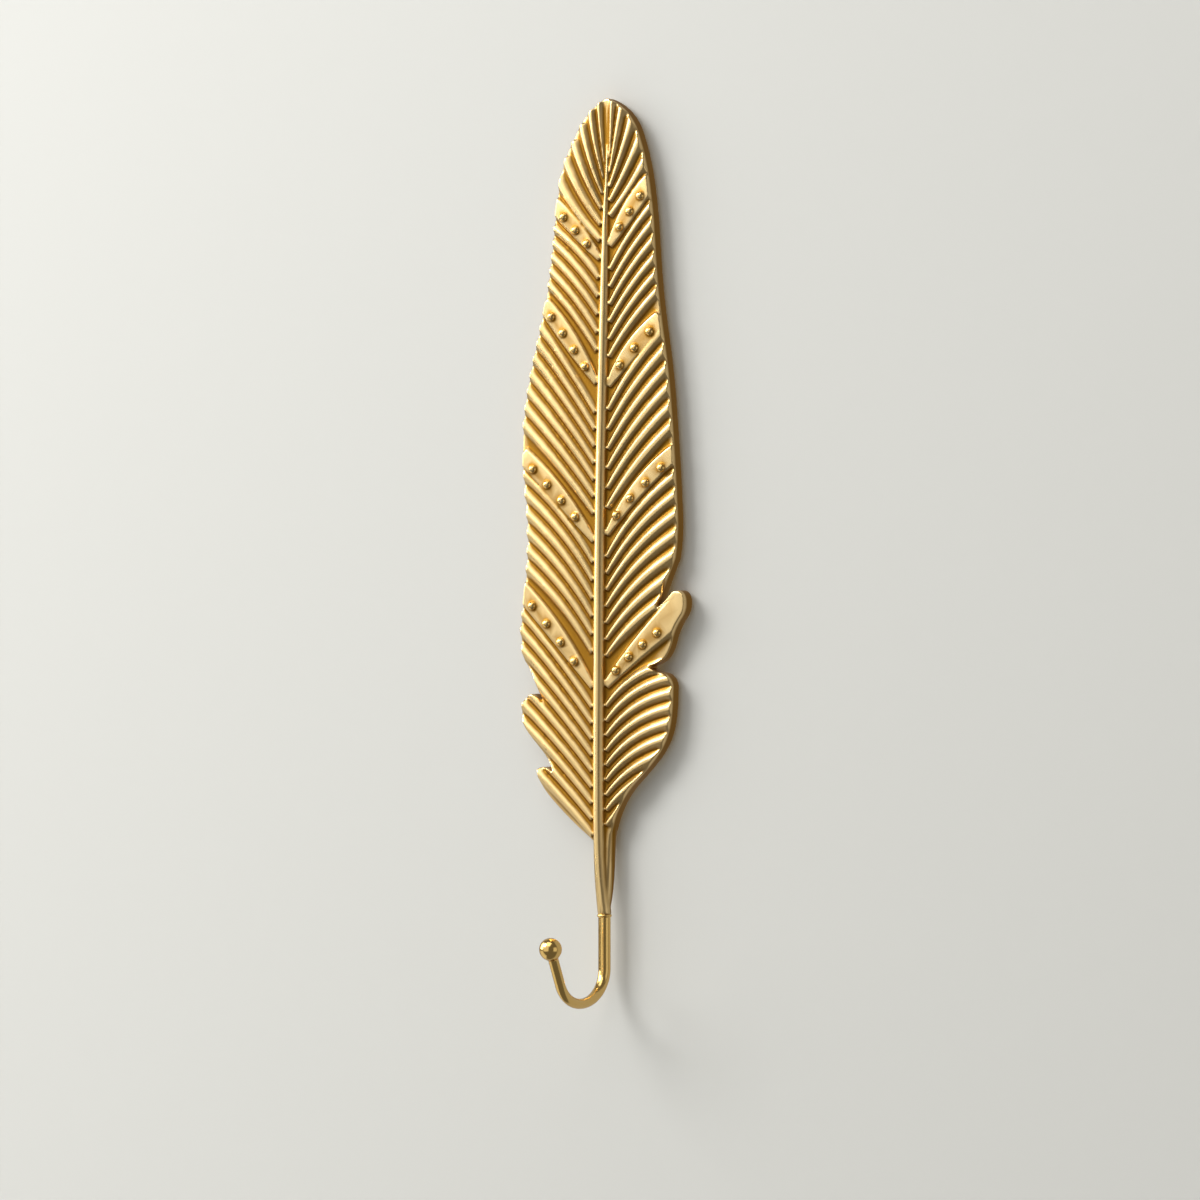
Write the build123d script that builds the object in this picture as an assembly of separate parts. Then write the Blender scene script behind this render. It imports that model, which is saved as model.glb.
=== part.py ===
"""Gold feather coat hook: a ribbed cast feather with a bent bar hook, hung on two keyhole plates.

The hook is laid out flat, x across the feather, y up it and z out from the wall, and is stood up
at the end. The origin is the centre of the upper keyhole on the wall plane. Sizes are in millimetres.
"""

import os
from math import cos, pi, radians, sin

from build123d import *

# Hanger plates
hanger_thickness = 1.0
hanger_width = 13.0
hanger_height = 34.0
hanger_lift = 3.0
hanger_corner = 2.0
hanger_spacing = 110.0
keyhole_radius = 3.75
slot_width = 4.0
slot_rise = 8.0
pad_width = 11.0
pad_height = 5.0
pad_inset = 1.0

# Feather casting
face_height = 4.2
pocket_depth = 2.6
edge_step = 0.15
rib_height = 1.45
rib_fill = 1.18
rib_aspect = 0.45
band_height = 1.35
bead_radius = 1.7
bead_height = 1.9
bead_taper = 21
bead_sides = 8
root_gap = 0.4
root_sink = 0.3

# Shaft and quill
quill_end = -213.1
quill_width = 4.45
shaft_sides = 14

# Hook bar and ball
rod_radius = 2.0
rod_sides = 16
rod_axis = 5.1
rod_drop = 17.5
tip_radius = 1.65
bend_depth = 13.6
bend_height = 10.2
bend_turn = 160.0
bend_steps = 8
tip_length = 13.0
spigot_radius = 1.2
spigot_length = 6.0
braze_gap = 0.05
collar_radius = 2.35
collar_height = 1.0
ball_radius = 3.6
ball_hole_depth = 3.2

back = hanger_thickness
face = back + face_height

# Height on the shaft, place across, width, and near and far side of its section.
shaft_stations = [
    (33.0, 1.1, 0.9, 2.0, 5.6),
    (15.0, 0.9, 2.2, 2.0, 6.5),
    (-10.0, 0.4, 3.3, 2.0, 7.1),
    (-60.0, -0.75, 4.0, 2.0, 7.5),
    (-120.0, -1.55, 4.2, 2.0, 7.7),
    (-175.0, -1.65, 4.3, 1.6, 7.9),
    (-190.0, -1.5, 4.3, 1.8, 7.9),
    (-201.0, -1.0, 4.4, 2.2, 7.9),
    (-208.0, -0.4, 4.4, 2.7, 7.7),
    (quill_end, 0.0, quill_width, rod_axis - quill_width / 2, rod_axis + quill_width / 2),
]

# The strip beside the quill, where the feather's right edge runs down into it.
tail_stations = [
    (-180.0, 1.4, 4.6, back, 5.3),
    (-190.0, 1.0, 3.8, 1.2, 5.7),
    (-201.0, 0.9, 3.6, 1.8, 6.2),
    (-208.0, 0.6, 3.3, 2.6, 6.5),
    (-211.6, 0.2, 3.0, 3.2, 6.7),
]

# Sections of a rib and of a band, as shares of width and height.
rib_profile = [(-0.5, 0), (-0.11, 1), (0.11, 1), (0.5, 0)]
band_profile = [(-0.5, 0), (-0.34, 1), (0.46, 1), (0.62, 0)]

# Count, first and last root height, first and last end point, first and last lean at root and end.
right_ribs = [
    (5, 28.8, 10.2, (3.4, 51.2), (18.1, 31.4), (5, 42), (0, 27)),
    (6, -7.0, -34.9, (20.4, 15.4), (21.9, -12.8), (28, 28), (40, 40)),
    (6, -51.8, -83.2, (24.9, -24.6), (27.9, -55.4), (25, 25), (38, 38)),
    (7, -98.9, -130.6, (27.9, -72.3), (27.9, -109.8), (25, 25), (46, 46)),
    (9, -146.6, -184.6, (26.4, -132.5), (26.4, -170.2), (30, 34), (72, 72)),
]
left_ribs = [
    (6, 27.5, 2.6, (-1.9, 50.6), (-17.7, 24.3), (3, 46), (0, 25)),
    (5, -9.6, -32.7, (-19.6, 7.7), (-23.0, -9.0), (33, 33), (52, 50)),
    (7, -52.5, -84.8, (-25.3, -23.0), (-32.1, -54.4), (36, 36), (45, 45)),
    (6, -100.5, -129.3, (-31.7, -71.0), (-32.5, -99.8), (33, 33), (54, 54)),
    (9, -146.9, -187.9, (-32.1, -115.8), (-32.1, -162.9), (36, 36), (45, 45)),
]

# Root height, end point, width at the middle and the end, lean at root and end, bead count and
# the shares of the band where the first and last bead sit.
right_bands = [
    (0.6, (18.1, 20.8), 6.6, 6.0, (32, 38), 3, (0.28, 0.76)),
    (-44.2, (21.9, -23.2), 6.8, 6.0, (30, 44), 3, (0.28, 0.8)),
    (-91.8, (27.5, -65.6), 6.0, 6.0, (26, 44), 4, (0.2, 0.8)),
    (-140.2, (34.6, -111.6), 8.4, 12.0, (34, 42), 4, (0.15, 0.59)),
]
left_bands = [
    (-3.5, (-19.3, 14.9), 5.8, 5.4, (40, 46), 3, (0.26, 0.75)),
    (-43.2, (-23.0, -17.2), 6.4, 5.6, (36, 42), 4, (0.2, 0.83)),
    (-93.8, (-31.3, -65.8), 6.2, 6.2, (36, 46), 4, (0.26, 0.83)),
    (-140.6, (-32.1, -109.2), 6.4, 6.6, (36, 46), 4, (0.25, 0.82)),
]

# Outline, clockwise from the upper notch on the left: arcs in each stretch, then its points.
right_notch = (19.8, -115.2)
right_step = (16.6, -133.8)
left_notch = (-22.9, -147.2)
lower_notch = (-19.0, -168.0)
outline_stretches = [
    (
        22,
        left_notch,
        (-24.0, -142.4),
        (-30.1, -133.0),
        (-31.1, -117.0),
        (-29.1, -90.0),
        (-31.0, -64.0),
        (-28.7, -43.0),
        (-21.6, -13.5),
        (-18.5, 10.0),
        (-15.4, 27.2),
        (-7.6, 41.3),
        (0.6, 48.0),
        (8.4, 43.2),
        (14.7, 30.0),
        (18.2, 9.0),
        (19.8, -12.0),
        (23.6, -39.0),
        (25.8, -63.0),
        (27.2, -88.0),
        (26.0, -100.5),
        (21.5, -110.0),
        right_notch,
    ),
    (
        6,
        right_notch,
        (22.6, -113.2),
        (28.2, -109.6),
        (30.2, -111.8),
        (26.2, -122.5),
        (24.0, -128.8),
        right_step,
    ),
    (
        8,
        (20.4, -135.6),
        (24.1, -136.9),
        (25.4, -145.0),
        (22.8, -157.5),
        (15.5, -167.0),
        (7.4, -175.8),
        (3.6, -183.5),
        (1.6, -193.0),
    ),
    (
        6,
        (-2.0, -191.5),
        (-11.8, -184.0),
        (-19.1, -177.6),
        (-24.4, -170.9),
        (-25.0, -166.6),
        (-21.1, -166.8),
        lower_notch,
    ),
    (6, lower_notch, (-23.9, -161.0), (-29.9, -153.6), (-31.1, -146.2), (-28.9, -143.4), left_notch),
]
pocket_stretch = (
    16,
    (0.8, 40.5),
    (9.0, 32.0),
    (13.6, 12.0),
    (16.0, -12.0),
    (22.6, -68.0),
    (22.0, -94.0),
    (15.0, -114.0),
    (13.0, -136.0),
    (14.0, -156.0),
    (7.0, -170.0),
    (-4.0, -176.0),
    (-12.0, -168.0),
    (-18.0, -148.0),
    (-25.0, -118.0),
    (-25.4, -64.0),
    (-17.0, -13.5),
    (-11.0, 25.0),
    (0.8, 40.5),
)


def mix(first, last, share):
    return first + (last - first) * share


def arc_chain(stretch, inset):
    count, *points = stretch
    curve = Spline(*points)

    def spot(share):
        along = curve % share
        return curve @ share + Vector(along.Y, -along.X) * inset

    return [
        ThreePointArc(spot(index / count), spot((index + 0.5) / count), spot((index + 1) / count))
        for index in range(count)
    ]


def closed_face(chains):
    edges = []
    for chain, following in zip(chains, chains[1:] + chains[:1]):
        edges += chain
        gap_start = chain[-1] @ 1
        gap_end = following[0] @ 0
        if (gap_end - gap_start).length > 0.01:
            edges.append(Line(gap_start, gap_end))
    return make_face(edges)


def feather_face(inset):
    return closed_face([arc_chain(stretch, inset) for stretch in outline_stretches])


def shaft_place(height):
    for upper, lower in zip(shaft_stations, shaft_stations[1:]):
        if lower[0] <= height <= upper[0]:
            share = (upper[0] - height) / (upper[0] - lower[0])
            return mix(upper[1], lower[1], share), mix(upper[2], lower[2], share)


def strand(stations):
    slices = []
    for height, middle, width, near, far in stations:
        corners = []
        for index in range(shaft_sides):
            angle = 2 * pi * (index + 0.5) / shaft_sides
            out = (near + far) / 2 + (far - near) / 2 * sin(angle)
            corners.append((middle + width / 2 * cos(angle), height, out))
        slices.append(make_face(Polyline(*corners, close=True)))
    return loft(slices)


def ridge_path(height, end, lean_root, lean_end, side):
    middle, width = shaft_place(height)
    root = (middle + side * (width / 2 + root_gap), height, face)
    leave = Vector(0, 1).rotate(Axis.Z, -side * lean_root)
    arrive = Vector(0, 1).rotate(Axis.Z, -side * lean_end)
    return Spline(root, (end[0], end[1], face), tangents=(leave, arrive))


def ridge(path, profile, sections):
    slices = []
    for share, width, height in sections:
        along = path % share
        place = Plane(path @ share, x_dir=(-along.Y, along.X, 0), z_dir=along)
        rise = height + root_sink
        corners = [(across * width, up * rise - root_sink) for across, up in profile]
        slices.append(place * make_face(Polyline(*corners, close=True)))
    return loft(slices)


def rib_group(group, side):
    count, first_root, last_root, first_end, last_end, lean_root, lean_end = group
    step_root = Vector(0, (last_root - first_root) / (count - 1))
    step_end = (Vector(last_end) - Vector(first_end)) / (count - 1)
    ribs = []
    for index in range(count):
        share = index / (count - 1)
        end = Vector(first_end) + step_end * index
        height = mix(first_root, last_root, share)
        path = ridge_path(height, (end.X, end.Y), mix(*lean_root, share), mix(*lean_end, share), side)
        sections = []
        for place, tallest in ((0, 0.75 * rib_height), (0.45, rib_height), (1, 0.75 * rib_height)):
            step = step_root + (step_end - step_root) * place
            width = max(0.9, rib_fill * abs(step.cross(path % place).Z))
            sections.append((place, width, min(tallest, rib_aspect * width)))
        ribs.append(ridge(path, rib_profile, sections))
    return ribs


def bead():
    return extrude(RegularPolygon(bead_radius, bead_sides), bead_height, taper=bead_taper)


def band(layout, side):
    height, end, middle_width, end_width, leans, bead_count, bead_span = layout
    path = ridge_path(height, end, *leans, side)
    strip = ridge(
        path,
        [(side * across, up) for across, up in band_profile],
        [
            (0, 0.35 * middle_width, 0.7 * band_height),
            (0.5, middle_width, band_height),
            (1, end_width, 0.8 * band_height),
        ],
    )
    beads = []
    for index in range(bead_count):
        spot = path @ mix(*bead_span, index / (bead_count - 1))
        beads.append(Pos(*spot) * Pos(0, 0, band_height / 2) * bead())
    return strip, beads


def hanger_spots():
    return [0.0, -hanger_spacing]


def pads():
    offset_up = (hanger_height - pad_height) / 2 - pad_inset
    blocks = []
    for spot in hanger_spots():
        for way in (1, -1):
            centre = (0, spot + hanger_lift + way * offset_up, back + pocket_depth / 2)
            blocks.append(Pos(*centre) * Box(pad_width, pad_height, pocket_depth))
    return blocks


def feather_plate():
    blank = Pos(0, 0, back) * extrude(feather_face(0), face_height)
    trim = Pos(0, 0, back) * extrude(feather_face(edge_step), 3 * face_height)
    ridges = []
    beads = []
    for side, ribs, bands in ((1, right_ribs, right_bands), (-1, left_ribs, left_bands)):
        for group in ribs:
            ridges += rib_group(group, side)
        for layout in bands:
            strip, spots = band(layout, side)
            ridges.append(strip)
            beads += spots
    relief = [piece & trim for piece in ridges]
    pocket = Pos(0, 0, back) * extrude(closed_face([arc_chain(pocket_stretch, 0)]), pocket_depth)
    socket_depth = spigot_length + braze_gap
    socket = Rot(90, 0, 0) * Cylinder(spigot_radius + braze_gap, socket_depth)
    socket = Pos(0, quill_end + socket_depth / 2, rod_axis) * socket
    body = blank + relief
    body = body + strand(shaft_stations) + strand(tail_stations)
    body = body + beads
    return body - (pocket - pads()) - socket


def bend_place(angle):
    centre = (0, quill_end - rod_drop - bend_height * sin(angle), rod_axis + bend_depth * (1 - cos(angle)))
    return Plane(centre, x_dir=(1, 0, 0), z_dir=(0, -bend_height * cos(angle), bend_depth * sin(angle)))


def hook_rod():
    top = Plane((0, quill_end, rod_axis), x_dir=(1, 0, 0), z_dir=(0, -1, 0))
    drop = extrude(top * RegularPolygon(rod_radius, rod_sides), rod_drop)
    slices = []
    for index in range(bend_steps + 1):
        radius = mix(rod_radius, tip_radius, min(1, 2 * index / bend_steps))
        place = bend_place(radians(bend_turn) * index / bend_steps)
        slices.append(place * RegularPolygon(radius, rod_sides))
    limb = extrude(slices[-1], tip_length - ball_radius + ball_hole_depth)
    spigot = top * Cylinder(spigot_radius, 2 * spigot_length)
    rings = [(0, rod_radius), (collar_height / 2, collar_radius), (collar_height, rod_radius)]
    collar = [top.offset(level) * RegularPolygon(radius, rod_sides) for level, radius in rings]
    return drop + loft(slices) + limb + spigot + loft(collar, ruled=True)


def ball_tip():
    place = bend_place(radians(bend_turn)).offset(tip_length)
    hole = Pos(0, 0, -ball_radius + ball_hole_depth) * Cylinder(
        tip_radius + braze_gap, 2 * ball_radius, align=(Align.CENTER, Align.CENTER, Align.MAX)
    )
    return place * (Sphere(ball_radius) - hole)


def hanger(spot):
    plate = Pos(0, hanger_lift) * Rectangle(hanger_width, hanger_height)
    plate = chamfer(plate.vertices(), hanger_corner)
    slot = Pos(0, slot_rise / 2) * Rectangle(slot_width, slot_rise)
    keyhole = Circle(keyhole_radius) + slot + Pos(0, slot_rise) * Circle(slot_width / 2)
    return Pos(0, spot) * extrude(plate - keyhole, hanger_thickness)


os.makedirs("parts", exist_ok=True)
upper_spot, lower_spot = hanger_spots()
pieces = {
    "feather_plate": feather_plate(),
    "hook_rod": hook_rod(),
    "ball_tip": ball_tip(),
    "upper_hanger": hanger(upper_spot),
    "lower_hanger": hanger(lower_spot),
}
for name, piece in pieces.items():
    export_step(Rot(90, 0, 0) * piece, f"parts/{name}.step")
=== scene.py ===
import math

import bmesh
import bpy
import numpy as np
from mathutils import Matrix, Vector


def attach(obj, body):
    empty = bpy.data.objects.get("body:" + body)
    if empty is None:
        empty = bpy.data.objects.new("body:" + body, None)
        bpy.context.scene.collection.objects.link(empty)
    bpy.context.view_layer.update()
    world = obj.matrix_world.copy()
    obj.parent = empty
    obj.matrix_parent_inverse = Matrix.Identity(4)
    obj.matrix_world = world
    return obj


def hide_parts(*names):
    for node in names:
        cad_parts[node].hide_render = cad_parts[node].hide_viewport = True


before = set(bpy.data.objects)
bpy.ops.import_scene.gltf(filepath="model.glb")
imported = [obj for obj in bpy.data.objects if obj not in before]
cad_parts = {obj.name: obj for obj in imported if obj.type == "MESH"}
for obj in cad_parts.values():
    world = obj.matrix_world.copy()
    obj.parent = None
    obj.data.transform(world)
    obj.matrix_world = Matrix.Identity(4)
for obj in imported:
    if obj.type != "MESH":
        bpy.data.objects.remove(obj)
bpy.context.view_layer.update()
scene = bpy.context.scene
mm = 0.001


def linkPiece(name, mesh, material):
    piece = bpy.data.objects.new(name, mesh)
    scene.collection.objects.link(piece)
    mesh.materials.clear()
    mesh.materials.append(material)
    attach(piece, "root")
    return piece


def meshFrom(bm, name):
    mesh = bpy.data.meshes.new(name)
    bm.to_mesh(mesh)
    bm.free()
    mesh.shade_smooth()
    return mesh


def bakeModifiers(piece):
    # the finished shape goes into the mesh, so nothing is left live
    graph = bpy.context.evaluated_depsgraph_get()
    baked = bpy.data.meshes.new_from_object(
        piece.evaluated_get(graph), preserve_all_data_layers=True, depsgraph=graph
    )
    piece.modifiers.clear()
    piece.data = baked
    return baked


# Gold finishes

goldLook = {
    "crest": (0.91, 0.66, 0.30),
    # painted shade: the darker colour laid in the grooves and on the side wall
    "paintedGrooveShade": (0.32, 0.155, 0.016),
    "back": (0.66, 0.45, 0.17),
    "bar": (0.90, 0.60, 0.20),
    "hollowSpan": (0.14, -0.14),
    "depthSpan": (-4.4 * mm, -5.3 * mm),
    "backSpan": (0.3, 0.8),
    "patchSpan": (0.3, 0.7),
    "patchDetail": 4.0,
    "castPatches": 60.0,
    "castRoughness": (0.24, 0.36),
    "grooveRoughness": 0.22,
    "castGrain": 900.0,
    "grainDetail": 3.0,
    "castBump": 0.05,
    "bumpDepth": 0.1 * mm,
    "plainPatches": 140.0,
    "barRoughness": (0.15, 0.20),
    "beadRoughness": (0.16, 0.24),
    "sheetRoughness": (0.30, 0.45),
}


def nodeTools(material):
    material.use_nodes = True
    tree = material.node_tree
    shader = next(node for node in tree.nodes if node.type == "BSDF_PRINCIPLED")

    def make(kind, values=None, **settings):
        node = tree.nodes.new(kind)
        for key, value in settings.items():
            setattr(node, key, value)
        for key, value in (values or {}).items():
            node.inputs[key].default_value = value
        return node

    return tree, shader, make


def spanNode(make, source, target=(0.0, 1.0)):
    names = ("From Min", "From Max", "To Min", "To Max")
    return make("ShaderNodeMapRange", dict(zip(names, (*source, *target))))


def roughPatches(tree, make, place, scale, roughness):
    noise = make("ShaderNodeTexNoise", {"Scale": scale, "Detail": goldLook["patchDetail"]})
    spread = spanNode(make, goldLook["patchSpan"], roughness)
    tree.links.new(place.outputs["Object"], noise.inputs["Vector"])
    tree.links.new(noise.outputs["Fac"], spread.inputs["Value"])
    return spread.outputs["Result"]


def castGold():
    material = bpy.data.materials.new("cast_gold")
    tree, shader, make = nodeTools(material)
    join = tree.links.new
    shader.inputs["Metallic"].default_value = 1.0
    place = make("ShaderNodeTexCoord")

    # painted shade: the gold is painted darker down in the grooves and on the side wall, clean
    # gold on the crests
    hollow = make("ShaderNodeAttribute", attribute_name="hollow")
    crest = spanNode(make, goldLook["hollowSpan"])
    split = make("ShaderNodeSeparateXYZ")
    front = spanNode(make, goldLook["depthSpan"])
    raised = make("ShaderNodeMath", operation="MULTIPLY")
    ends = {"A": (*goldLook["paintedGrooveShade"], 1.0), "B": (*goldLook["crest"], 1.0)}
    paintedShadeMix = make("ShaderNodeMix", ends, data_type="RGBA")
    join(place.outputs["Object"], split.inputs["Vector"])
    join(split.outputs["Y"], front.inputs["Value"])
    join(hollow.outputs["Fac"], crest.inputs["Value"])
    join(front.outputs["Result"], raised.inputs[0])
    join(crest.outputs["Result"], raised.inputs[1])
    join(raised.outputs["Value"], paintedShadeMix.inputs["Factor"])

    # the unpolished back of the casting
    facing = make("ShaderNodeSeparateXYZ")
    behind = spanNode(make, goldLook["backSpan"])
    whole = make("ShaderNodeMix", {"B": (*goldLook["back"], 1.0)}, data_type="RGBA")
    join(place.outputs["Normal"], facing.inputs["Vector"])
    join(facing.outputs["Y"], behind.inputs["Value"])
    join(behind.outputs["Result"], whole.inputs["Factor"])
    join(paintedShadeMix.outputs["Result"], whole.inputs["A"])
    join(whole.outputs["Result"], shader.inputs["Base Color"])

    # the grooves are duller than the crests
    patches = roughPatches(tree, make, place, goldLook["castPatches"], goldLook["castRoughness"])
    dull = spanNode(make, (0.0, 1.0), (goldLook["grooveRoughness"], 0.0))
    both = make("ShaderNodeMath", operation="ADD")
    join(raised.outputs["Value"], dull.inputs["Value"])
    join(patches, both.inputs[0])
    join(dull.outputs["Result"], both.inputs[1])
    join(both.outputs["Value"], shader.inputs["Roughness"])

    fineness = {"Scale": goldLook["castGrain"], "Detail": goldLook["grainDetail"]}
    grain = make("ShaderNodeTexNoise", fineness)
    relief = {"Strength": goldLook["castBump"], "Distance": goldLook["bumpDepth"]}
    bump = make("ShaderNodeBump", relief)
    join(place.outputs["Object"], grain.inputs["Vector"])
    join(grain.outputs["Fac"], bump.inputs["Height"])
    join(bump.outputs["Normal"], shader.inputs["Normal"])
    return material


def plainGold(name, color, roughness):
    material = bpy.data.materials.new(name)
    tree, shader, make = nodeTools(material)
    shader.inputs["Metallic"].default_value = 1.0
    shader.inputs["Base Color"].default_value = (*color, 1.0)
    place = make("ShaderNodeTexCoord")
    patches = roughPatches(tree, make, place, goldLook["plainPatches"], roughness)
    tree.links.new(patches, shader.inputs["Roughness"])
    return material


castFinish = castGold()
barFinish = plainGold("polished_gold", goldLook["bar"], goldLook["barRoughness"])
beadFinish = plainGold("bead_gold", goldLook["bar"], goldLook["beadRoughness"])
sheetFinish = plainGold("sheet_gold", goldLook["crest"], goldLook["sheetRoughness"])
print("finishes ready")


# Feather casting: the solid's own mesh, with every rib and band rounded as in a casting

castingSize = {
    "weld": 0.002 * mm,
    "voxel": 0.30 * mm,
    "smoothSteps": 6,
    "smoothAmount": 0.5,
    "keepTriangles": 190000,
    "hollowSteps": 110,
    "hollowAmount": 0.5,
}


def smoothOut(piece, amount, steps):
    smooth = piece.modifiers.new("smooth", "SMOOTH")
    smooth.factor = amount
    smooth.iterations = steps


def pointDepths(mesh):
    spots = np.empty(len(mesh.vertices) * 3, np.float32)
    mesh.vertices.foreach_get("co", spots)
    return spots[1::3]


def markHollows(piece):
    # millimetres that each point lies behind the smoothed surface around it, which sets where
    # the painted groove shade goes
    mesh = piece.data
    smoothOut(piece, castingSize["hollowAmount"], castingSize["hollowSteps"])
    graph = bpy.context.evaluated_depsgraph_get()
    sunk = (pointDepths(mesh) - pointDepths(piece.evaluated_get(graph).data)) / mm
    piece.modifiers.clear()
    mesh.attributes.new("hollow", "FLOAT", "POINT").data.foreach_set("value", sunk)
    print("hollows", round(float(sunk.min()), 2), "to", round(float(sunk.max()), 2))


def featherCasting():
    bm = bmesh.new()
    bm.from_mesh(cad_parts["feather_plate"].data)
    bmesh.ops.remove_doubles(bm, verts=bm.verts, dist=castingSize["weld"])
    mesh = meshFrom(bm, "feather_casting")
    piece = linkPiece("feather_casting", mesh, castFinish)
    remesh = piece.modifiers.new("round", "REMESH")
    remesh.mode = "VOXEL"
    remesh.voxel_size = castingSize["voxel"]
    remesh.use_smooth_shade = True
    smoothOut(piece, castingSize["smoothAmount"], castingSize["smoothSteps"])
    full = len(bakeModifiers(piece).polygons) * 2
    markHollows(piece)
    thin = piece.modifiers.new("thin", "DECIMATE")
    thin.ratio = min(1.0, castingSize["keepTriangles"] / full)
    mesh = bakeModifiers(piece)
    mesh.shade_smooth()
    mesh.materials.clear()
    mesh.materials.append(castFinish)
    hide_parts("feather_plate")
    print("feather casting", full, "->", len(mesh.polygons))


featherCasting()


# Beads: a smooth dome over each stud of the casting

beadSize = {
    "studTop": -7.775 * mm,
    "topSlack": 0.02 * mm,
    "nearby": 2.4 * mm,
    "fewest": 8,
    "radius": 1.5 * mm,
    "seat": -6.45 * mm,
    "rise": 1.36 * mm,
    "around": 20,
    "rows": 12,
}


def beadSpots():
    groups = []
    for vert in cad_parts["feather_plate"].data.vertices:
        if abs(vert.co.y - beadSize["studTop"]) > beadSize["topSlack"]:
            continue
        for group in groups:
            if (group[0] - vert.co).length < beadSize["nearby"]:
                group.append(vert.co.copy())
                break
        else:
            groups.append([vert.co.copy()])
    studs = [group for group in groups if len(group) >= beadSize["fewest"]]
    return [sum(group, Vector()) / len(group) for group in studs]


def beadDomes():
    bm = bmesh.new()
    spots = beadSpots()
    squash = Matrix.Diagonal((1.0, beadSize["rise"] / beadSize["radius"], 1.0, 1.0))
    upright = Matrix.Rotation(math.radians(90), 4, "X")
    for spot in spots:
        seat = Matrix.Translation((spot.x, beadSize["seat"], spot.z))
        bmesh.ops.create_uvsphere(
            bm,
            u_segments=beadSize["around"],
            v_segments=beadSize["rows"],
            radius=beadSize["radius"],
            matrix=seat @ squash @ upright,
        )
    linkPiece("bead_domes", meshFrom(bm, "bead_domes"), beadFinish)
    print("beads", len(spots))


beadDomes()


# Hook bar and its ball end

barSize = {
    "radius": 2.0 * mm,
    "tipRadius": 1.65 * mm,
    "axisOut": 5.1 * mm,
    "top": -213.1 * mm,
    "drop": 17.5 * mm,
    "bendDepth": 13.6 * mm,
    "bendHeight": 10.2 * mm,
    "bendTurn": math.radians(160.0),
    "drawnBy": 0.5,
    "tipLength": 13.0 * mm,
    "tipInBall": 0.6,
    "ballRadius": 3.6 * mm,
    "ballAround": 64,
    "ballRows": 32,
    "collarSwell": 0.35 * mm,
    "collarHeight": 1.0 * mm,
    "collarRows": 8,
    "filletHeight": 0.6 * mm,
    "filletSwell": 0.4 * mm,
    "filletBelow": 0.8,
    "filletRows": 6,
    "sides": 48,
    "bendSteps": 40,
    "sharpAngle": math.radians(50),
}


def barSpot(angle):
    # centre of the bar and its heading, part of the way round the bend
    depth = barSize["bendDepth"]
    height = barSize["bendHeight"]
    out = barSize["axisOut"] + depth * (1 - math.cos(angle))
    level = barSize["top"] - barSize["drop"] - height * math.sin(angle)
    heading = Vector((0, -depth * math.sin(angle), -height * math.cos(angle)))
    return Vector((0, -out, level)), heading.normalized()


def barRing(bm, spot, heading, radius):
    across = Vector((1, 0, 0))
    turn = Matrix((across, heading.cross(across), heading)).transposed().to_4x4()
    place = Matrix.Translation(spot) @ turn
    ring = bmesh.ops.create_circle(bm, segments=barSize["sides"], radius=radius, matrix=place)
    return list({edge for vert in ring["verts"] for edge in vert.link_edges})


def bridgeRings(bm, rings):
    for upper, lower in zip(rings, rings[1:]):
        bmesh.ops.bridge_loops(bm, edges=upper + lower)


def bentBar(bm, top, down):
    rings = [barRing(bm, top, down, barSize["radius"])]
    for step in range(barSize["bendSteps"] + 1):
        part = step / barSize["bendSteps"]
        spot, heading = barSpot(barSize["bendTurn"] * part)
        thin = min(1.0, part / barSize["drawnBy"])
        radius = barSize["radius"] * (1 - thin) + barSize["tipRadius"] * thin
        rings.append(barRing(bm, spot, heading, radius))
    limb = barSize["tipLength"] - barSize["tipInBall"] * barSize["ballRadius"]
    rings.append(barRing(bm, spot + heading * limb, heading, barSize["tipRadius"]))
    bridgeRings(bm, rings)
    bmesh.ops.edgeloop_fill(bm, edges=rings[0])
    bmesh.ops.edgeloop_fill(bm, edges=rings[-1])


def quillCollar(bm, top, down):
    # braze ring under the quill
    rings = []
    for row in range(barSize["collarRows"] + 1):
        angle = math.pi * row / barSize["collarRows"]
        radius = barSize["radius"] + barSize["collarSwell"] * math.sin(angle)
        level = barSize["collarHeight"] * (1 - math.cos(angle)) / 2
        rings.append(barRing(bm, top + down * level, down, radius))
    bridgeRings(bm, rings)


def ballFillet(bm):
    # braze fillet under the ball
    spot, heading = barSpot(barSize["bendTurn"])
    sunk = math.sqrt(barSize["ballRadius"] ** 2 - barSize["tipRadius"] ** 2)
    entry = barSize["tipLength"] - sunk
    rings = []
    for row in range(barSize["filletRows"] + 1):
        part = row / barSize["filletRows"]
        radius = barSize["tipRadius"] + barSize["filletSwell"] * part * part
        level = entry - barSize["filletHeight"] * (barSize["filletBelow"] - part)
        rings.append(barRing(bm, spot + heading * level, heading, radius))
    bridgeRings(bm, rings)


def hookBar():
    bm = bmesh.new()
    down = Vector((0, 0, -1))
    top = Vector((0, -barSize["axisOut"], barSize["top"]))
    bentBar(bm, top, down)
    quillCollar(bm, top, down)
    ballFillet(bm)
    bmesh.ops.recalc_face_normals(bm, faces=bm.faces)
    mesh = meshFrom(bm, "hook_bar")
    mesh.set_sharp_from_angle(angle=barSize["sharpAngle"])
    piece = linkPiece("hook_bar", mesh, barFinish)
    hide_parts("hook_rod")
    print("hook bar", len(mesh.polygons))


def ballEnd():
    spot, heading = barSpot(barSize["bendTurn"])
    turn = heading.to_track_quat("Z", "Y").to_matrix().to_4x4()
    bm = bmesh.new()
    bmesh.ops.create_uvsphere(
        bm,
        u_segments=barSize["ballAround"],
        v_segments=barSize["ballRows"],
        radius=barSize["ballRadius"],
        matrix=Matrix.Translation(spot + heading * barSize["tipLength"]) @ turn,
    )
    mesh = meshFrom(bm, "ball_end")
    piece = linkPiece("ball_end", mesh, barFinish)
    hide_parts("ball_tip")
    print("ball end", len(mesh.polygons))


hookBar()
ballEnd()

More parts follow.
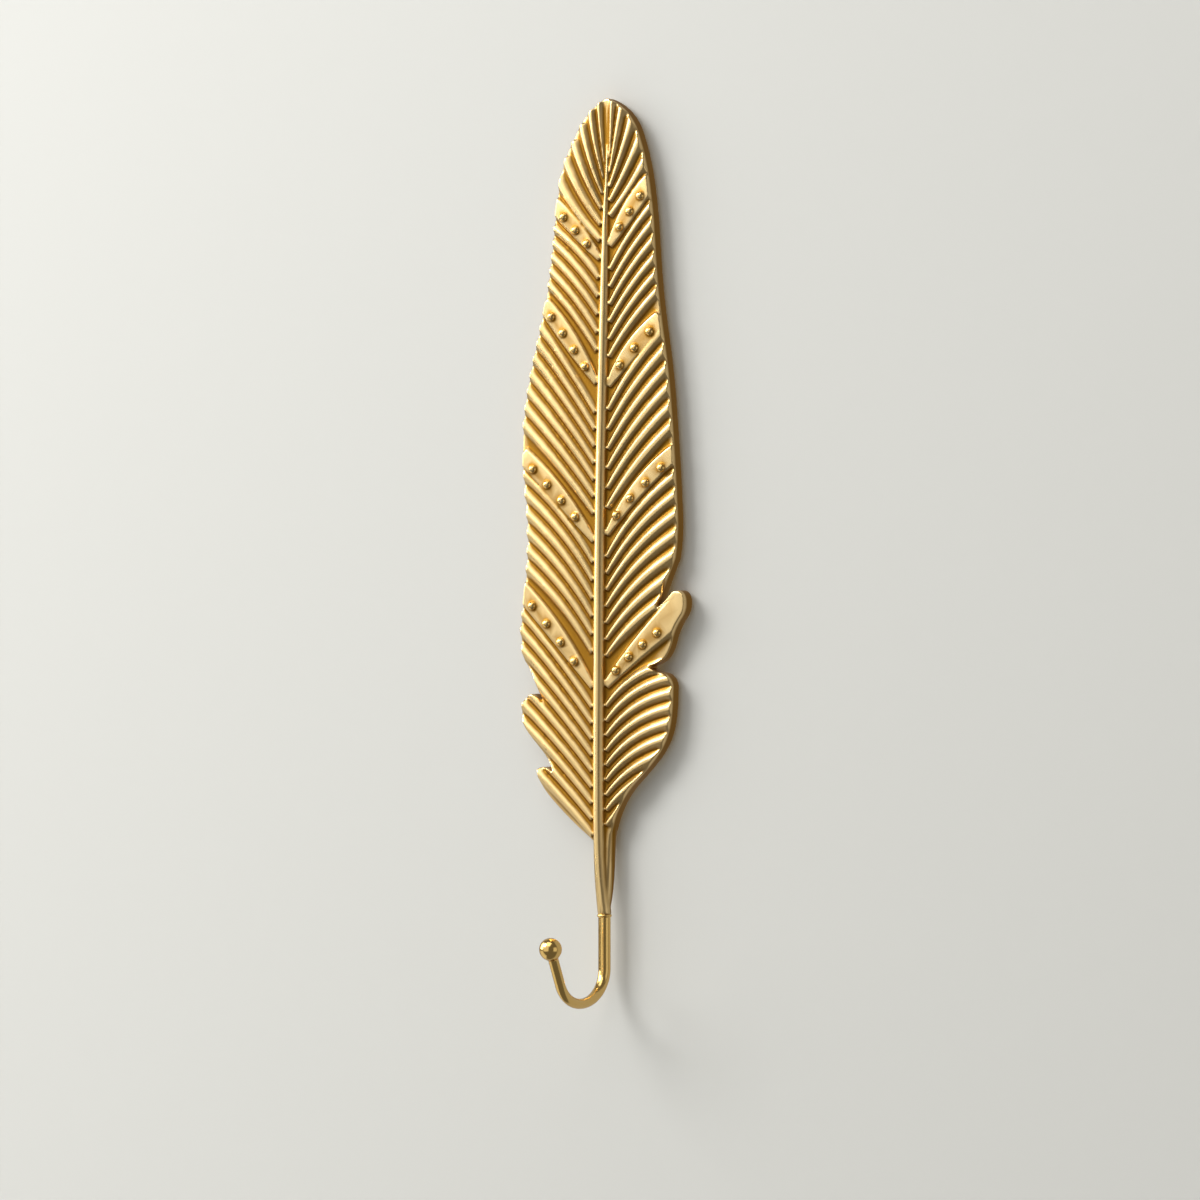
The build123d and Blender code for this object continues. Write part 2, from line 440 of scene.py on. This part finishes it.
for name in ("upper_hanger", "lower_hanger"):
    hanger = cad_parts[name].data
    hanger.materials.clear()
    hanger.materials.append(sheetFinish)
print("hangers finished")


# Pale wall, light and camera

stageLook = {
    "paint": (0.62, 0.62, 0.59),
    "paintRoughness": 0.9,
    "paintShine": 0.1,
    "halfSize": 1.8,
    "wallGap": 0.3 * mm,
    "floorLevel": -1.4,
}


def palePaint():
    material = bpy.data.materials.new("pale_paint")
    tree, shader, make = nodeTools(material)
    shader.inputs["Base Color"].default_value = (*stageLook["paint"], 1.0)
    shader.inputs["Roughness"].default_value = stageLook["paintRoughness"]
    shader.inputs["Specular IOR Level"].default_value = stageLook["paintShine"]
    # one-sided, so that the back of the hook can be looked at too
    side = make("ShaderNodeNewGeometry")
    clear = make("ShaderNodeBsdfTransparent")
    either = make("ShaderNodeMixShader")
    output = next(node for node in tree.nodes if node.type == "OUTPUT_MATERIAL")
    tree.links.new(side.outputs["Backfacing"], either.inputs["Fac"])
    tree.links.new(shader.outputs["BSDF"], either.inputs[1])
    tree.links.new(clear.outputs["BSDF"], either.inputs[2])
    tree.links.new(either.outputs["Shader"], output.inputs["Surface"])
    return material


def stageSheet(name, place, paint):
    half = stageLook["halfSize"]
    bm = bmesh.new()
    bmesh.ops.create_grid(bm, x_segments=1, y_segments=1, size=half, matrix=place)
    sheet = bpy.data.objects.new(name, meshFrom(bm, name))
    sheet.data.materials.append(paint)
    scene.collection.objects.link(sheet)
    # the metal sees the lamps and the dim room instead of the sheets
    sheet.visible_glossy = False
    return sheet


def paleStage():
    paint = palePaint()
    half = stageLook["halfSize"]
    lying = Matrix.Translation((0, stageLook["wallGap"] - half, stageLook["floorLevel"]))
    stageSheet("pale_floor", lying, paint)
    standing = Matrix.Translation((0, stageLook["wallGap"], stageLook["floorLevel"] + half))
    upright = Matrix.Rotation(math.radians(90), 4, "X")
    wall = stageSheet("pale_wall", standing @ upright, paint)
    # the light reaches the back of the hook through the wall
    wall.visible_shadow = False


paleStage()

lightLook = {
    "aim": (0, 0, -110 * mm),
    "worldColor": (1.0, 0.94, 0.84, 1.0),
    "worldLight": 0.15,
}

# where each lamp stands, its size and its power
lampLook = {
    "key": ((-1.10, -1.22, 1.04), 0.9, 29.0),
    "side": ((-1.70, -0.62, 0.45), 1.4, 22.0),
    "top": ((0.0, -1.15, 1.53), 1.6, 13.0),
    "front": ((-0.56, -2.10, 0.20), 2.2, 9.5),
    "low": ((-0.81, -0.23, -0.80), 1.0, 1.8),
    "right": ((1.48, -0.26, -0.16), 1.0, 1.6),
    "back": ((0.0, 0.50, -0.11), 3.2, 9.0),
}


def softLight(name, place, size, power):
    data = bpy.data.lights.new(name, "AREA")
    data.shape = "SQUARE"
    data.size = size
    data.energy = power
    lamp = bpy.data.objects.new(name, data)
    scene.collection.objects.link(lamp)
    lamp.location = place
    lamp.visible_camera = False
    toHook = Vector(lightLook["aim"]) - Vector(place)
    lamp.rotation_euler = toHook.to_track_quat("-Z", "Y").to_euler()


def studioWorld():
    world = bpy.data.worlds.new("studio")
    scene.world = world
    world.use_nodes = True
    shader = next(node for node in world.node_tree.nodes if node.type == "BACKGROUND")
    shader.inputs["Color"].default_value = lightLook["worldColor"]
    shader.inputs["Strength"].default_value = lightLook["worldLight"]


for name, look in lampLook.items():
    softLight(name, *look)
studioWorld()
scene.view_settings.view_transform = "Standard"

cameraLook = {
    "azimuth": 32.0,
    "distance": 1.5,
    "sensor": 36.0,
    "nearest": 0.05,
    "frameWidth": 384 * mm,
    "centre": (0, -5.1 * mm, -112.6 * mm),
    "shiftLeft": 1.44 * mm,
}


def photoCamera():
    data = bpy.data.cameras.new("photo_camera")
    data.sensor_width = cameraLook["sensor"]
    data.lens = cameraLook["sensor"] * cameraLook["distance"] / cameraLook["frameWidth"]
    data.clip_start = cameraLook["nearest"]
    camera = bpy.data.objects.new("photo_camera", data)
    scene.collection.objects.link(camera)
    angle = math.radians(cameraLook["azimuth"])
    right = Vector((math.cos(angle), math.sin(angle), 0))
    away = Vector((math.sin(angle), -math.cos(angle), 0))
    target = Vector(cameraLook["centre"]) - right * cameraLook["shiftLeft"]
    camera.location = target + away * cameraLook["distance"]
    camera.rotation_euler = (-away).to_track_quat("-Z", "Y").to_euler()
    scene.camera = camera


photoCamera()
print("stage, light and camera ready")
